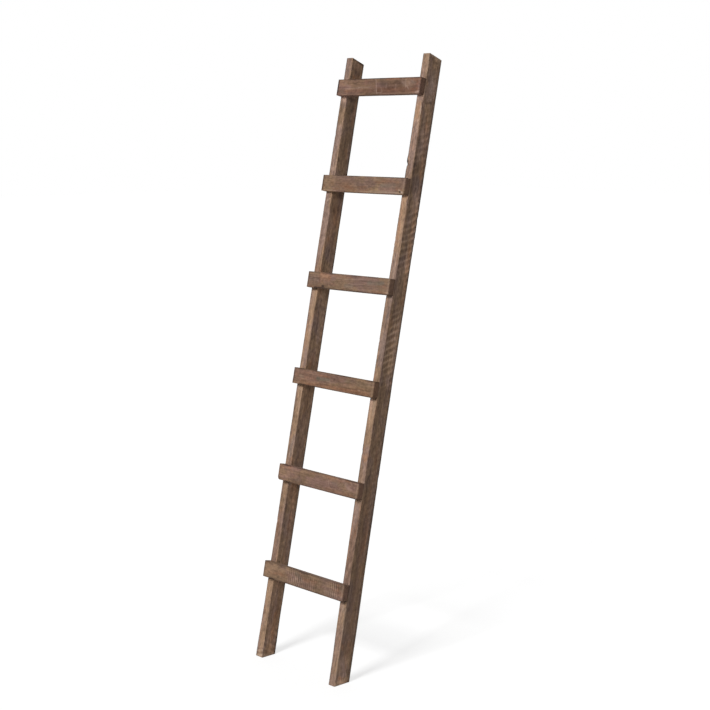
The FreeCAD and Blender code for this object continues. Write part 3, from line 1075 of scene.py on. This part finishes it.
# Also, for the rungs:
# reach: how far the left and right ends stand out past the true length
# cast: how light and red the wood is against the other rungs
# left_dark: how dark the painted shade at the left end is, in percent
RUNG_LOOKS = {
    "rung_1": {
        "texture": (1.25, 0.55), "reach": (3.7, -0.2), "cast": (0.95, 0.94, 0.95), "left_dark": 45,
        "saw": RIPPLED_RUNG_SAW,
    },
    "rung_2": {
        "texture": (1.2, 0.55), "reach": (3.5, -2.6), "cast": (0.97, 0.93, 0.94), "left_dark": 20,
        "chips": ((1, 0, -1, 6.0),),
    },
    "rung_3": {
        "texture": (1.2, 0.8), "reach": (2.7, -2.4), "cast": (0.92, 0.88, 0.84), "left_dark": 65,
        "chips": ((1, -1, 1, 2.6), (-1, 0, -1, 1.5)),
    },
    "rung_4": {
        "texture": (1.2, 0.8), "reach": (3.2, -2.2), "cast": (0.94, 0.93, 0.94), "left_dark": 60,
        "chips": ((1, -1, 1, 3.5), (-1, -1, 1, 2.4)),
    },
    "rung_5": {
        "texture": (1.2, 0.55), "reach": (2.8, -0.4), "cast": (0.94, 0.94, 0.91), "left_dark": 80,
        "chips": ((1, -1, 1, 2.0),), **BOUNCE_HIGHLIGHT_EDGES,
    },
    "rung_6": {
        "texture": (1.2, 0.55), "reach": (-1.0, -0.6), "cast": (0.84, 0.78, 0.79), "left_dark": 75,
        **BOUNCE_HIGHLIGHT_EDGES,
    },
}

RUNG_FRONTS = (RUNG_1_FRONT, RUNG_2_FRONT, RUNG_3_FRONT, RUNG_4_FRONT, RUNG_5_FRONT, RUNG_6_FRONT)

# Seeds of the rungs, and where their grain lies in the tree, so that no two look alike
RUNG_SEED = 200
RUNG_SEED_STEP = 13
RUNG_SHIFT_REACHES = (0.04, 0.05)
RUNG_SHIFT_TURNS = (2.4, 1.7)
RUNG_SHIFT_START = 30
RUNG_SHIFT_STEP = 5.9

# The dark stroke at a rung's left end, painted shade where the rounded end turns from the light, and the
# pale one at its right end: place from the end, half width
LEFT_END_STROKE = (3.5, 7)
RIGHT_END_STROKE = (5, 4)
RIGHT_END_PALE = 26
RUNG_HALF_HEIGHT = 25


def listed(faces):
    """All strokes of a board, each with its kind and face."""
    found = []
    for face, kinds in faces.items():
        for kind, strokes in kinds.items():
            found += [(kind, face, *stroke) for stroke in strokes]
    return found


def end_strokes(length, look):
    """The strokes over both ends and along an edge of a rung: painted shade at the left end, a pale line at
    the right end, and the look's edge stroke.
    """
    left, left_width = LEFT_END_STROKE
    right, right_width = length - RIGHT_END_STROKE[0], RIGHT_END_STROKE[1]
    low, high = -RUNG_HALF_HEIGHT, RUNG_HALF_HEIGHT
    return [
        ("dark", "front", left, low, left, high, left_width, look["left_dark"]),
        ("pale", "front", right, low, right, high, right_width, RIGHT_END_PALE),
        look["edge_stroke"],
    ]


def cast(tones, factors):
    """Tones with their red, green and blue scaled."""
    return {kind: tuple(np.multiply(colour, (*factors, 1.0))) for kind, colour in tones.items()}


def build_stringers():
    """Both uprights."""
    for side in SIDES:
        name = f"{side}_stringer"
        size, place = stringer_place(side)
        look = {**STRINGER_LOOK, **STRINGER_LOOKS[side]}
        look["strokes"] = listed(look["strokes"])
        board = board_object(name, size, STRINGER_STEP, LEAN, place, look)
        board.data.materials.append(wood(f"{name}_wood", STRINGER_TONES, *look["texture"]))


def rung_shift(number):
    """Where a rung's grain lies in the tree."""
    across = RUNG_SHIFT_REACHES[0] * math.sin(RUNG_SHIFT_TURNS[0] * number)
    through = RUNG_SHIFT_REACHES[1] * math.cos(RUNG_SHIFT_TURNS[1] * number)
    return across, through, RUNG_SHIFT_START + RUNG_SHIFT_STEP * number


def build_rungs():
    """All rungs, from the floor up."""
    for number in range(1, RUNG_COUNT + 1):
        name = f"rung_{number}"
        size, place = rung_place(number)
        look = {**RUNG_LOOK, **RUNG_LOOKS[name]}
        left_reach, right_reach = np.array(look["reach"]) * MM
        size = size + np.array((0, 0, left_reach + right_reach))
        place = place @ Matrix.Translation((0, 0, -left_reach))
        look["seed"] = RUNG_SEED + RUNG_SEED_STEP * number
        look["shift"] = rung_shift(number)
        look["strokes"] = listed({"front": RUNG_FRONTS[number - 1]}) + end_strokes(size[2] / MM, look)
        board = board_object(name, size, RUNG_STEP, 0.0, place, look)
        tones = cast(RUNG_TONES, look["cast"])
        board.data.materials.append(wood(f"{name}_wood", tones, *look["texture"]))


def finish_nails():
    """The nails keep their solids and get a metal of their own."""
    metal = nail_metal()
    for name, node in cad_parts.items():
        if name.endswith("_nails"):
            node.data.materials.clear()
            node.data.materials.append(metal)


# The studio

def key_aim():
    """The way the softbox faces: towards the ladder, tipped down to light it evenly from foot to tip."""
    flat = Vector((-KEY_PLACE[0], -KEY_PLACE[1], 0)).normalized()
    return flat * math.cos(KEY_DIP) - Vector((0, 0, math.sin(KEY_DIP)))


def add_floor():
    """A plain pale floor that looks evenly white to the camera and keeps the ladder's shadow."""
    half = FLOOR_SIZE / 2
    corners = [(-half, -half, 0), (half, -half, 0), (half, half, 0), (-half, half, 0)]
    mesh = bpy.data.meshes.new("floor")
    mesh.from_pydata(corners, [], [(0, 1, 2, 3)])
    floor = add_object("floor", mesh)
    material, graph, shader = new_material("floor_paper")
    place = graph.node("ShaderNodeNewGeometry").outputs["Position"]
    from_key = graph.vector("SUBTRACT", place, KEY_PLACE)
    facing = graph.vector("DOT_PRODUCT", from_key, key_aim())
    gap_squared = graph.vector("DOT_PRODUCT", from_key, from_key)
    key_share = FLOOR_GREY * KEY_POWER * KEY_PLACE[2] / math.pi ** 2
    spread = graph.product(gap_squared, gap_squared)
    key_light = graph.number("DIVIDE", graph.product(facing, key_share), spread)
    lifted = FLOOR_WHITE - FLOOR_GREY * SURROUND_STRENGTH
    away = graph.vector("DOT_PRODUCT", place, place)
    white = graph.span(away, FLOOR_LIFT_FROM, FLOOR_LIFT_TO, lifted, lifted + FLOOR_LIFT)
    missing = graph.number("SUBTRACT", white, key_light)
    graph.give(shader, {
        "Base Color": (FLOOR_GREY, FLOOR_GREY, FLOOR_GREY, 1.0),
        "Roughness": 1.0,
        "Specular IOR Level": 0.0,
        "Emission Color": WHITE,
        "Emission Strength": graph.product(missing, graph.background_rays()),
    })
    mesh.materials.append(material)


def add_surround():
    """A world that lights more from behind, and is white where the camera, metal or glass sees it."""
    world = bpy.data.worlds.new("surround")
    bpy.context.scene.world = world
    graph = Graph(world)
    way = graph.node("ShaderNodeTexCoord").outputs["Generated"]
    behind = graph.vector("DOT_PRODUCT", way, Vector(BACK_FROM).normalized())
    light = graph.span(behind, BACK_EDGE, 1.0, SURROUND_STRENGTH, SURROUND_STRENGTH + BACK_STRENGTH)
    strength = graph.span(graph.background_rays(), 0.0, 1.0, light, 1.0)
    graph.give(graph.nodes["Background"], {"Color": WHITE, "Strength": strength})


def add_key():
    """The softbox."""
    key = bpy.data.lights.new("key", "AREA")
    key.energy = KEY_POWER
    key.shape = "RECTANGLE"
    key.size, key.size_y = KEY_SIZE
    lamp = add_object("key", key)
    lamp.location = KEY_PLACE
    lamp.rotation_euler = key_aim().to_track_quat("-Z", "Y").to_euler()


def add_camera():
    """The photograph's point of view."""
    data = bpy.data.cameras.new("camera")
    data.sensor_width = SENSOR_WIDTH
    data.lens = CAMERA_LENS
    camera = add_object("camera", data)
    camera.location = CAMERA_PLACE
    camera.rotation_euler = (math.radians(90 - CAMERA_DIP), 0, math.radians(CAMERA_TURN))
    bpy.context.scene.camera = camera


add_camera()
add_floor()
add_surround()
add_key()
build_stringers()
build_rungs()
finish_nails()
bpy.context.scene.view_settings.view_transform = "Standard"

bpy.context.view_layer.update()
